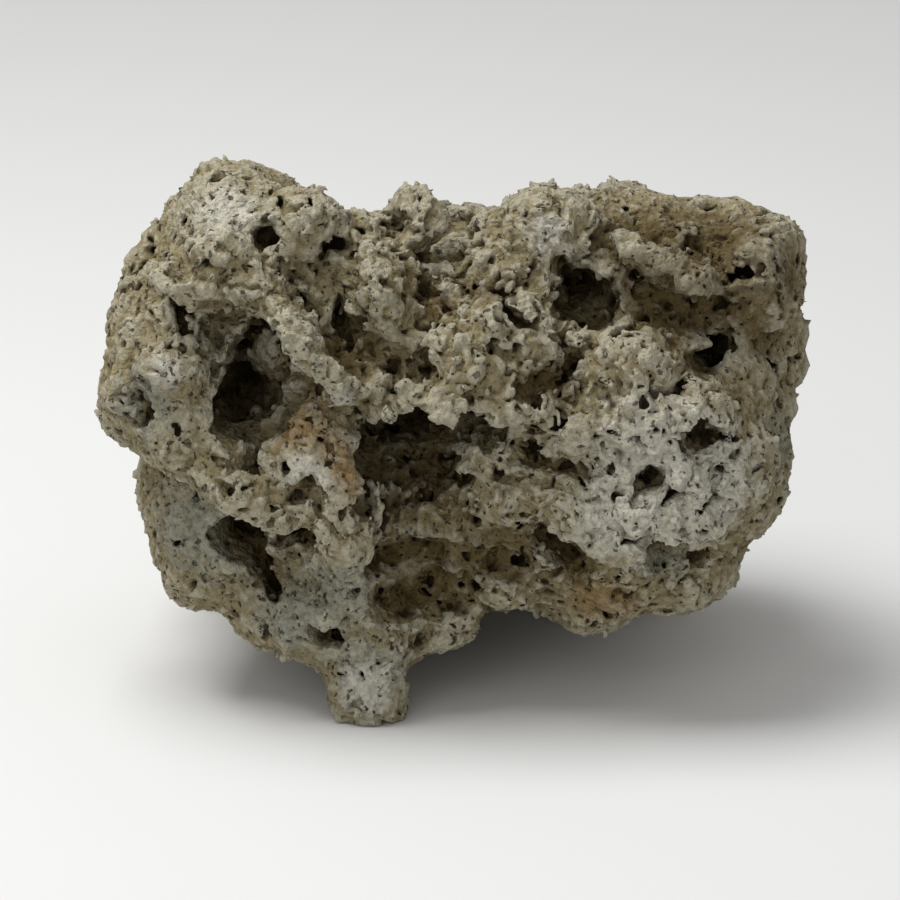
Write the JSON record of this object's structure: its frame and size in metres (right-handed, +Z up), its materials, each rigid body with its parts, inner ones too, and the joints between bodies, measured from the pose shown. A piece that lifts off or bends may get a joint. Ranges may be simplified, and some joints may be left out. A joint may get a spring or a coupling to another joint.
{
  "type": "dry reef rock",
  "caption": "Dry reef rock of porous old coral limestone, with lobes, caves and bored holes, resting on a front foot and a broad back base, for aquariums and displays.",
  "frame": {"origin": "on the surface that the rock stands on, under the middle of its outline", "axes": "+X to the right and -Y towards the viewer in the picture, +Z up"},
  "size_m": [0.1621, 0.1168, 0.1244],
  "materials": {
    "reef_stone": "matt, chalky and porous, pale grey-white on the crests, cream to tan on the faces and ochre brown in the hollows"
  },
  "bodies": {
    "root": {"reef_rock": "reef_stone"}
  },
  "joints": []
}
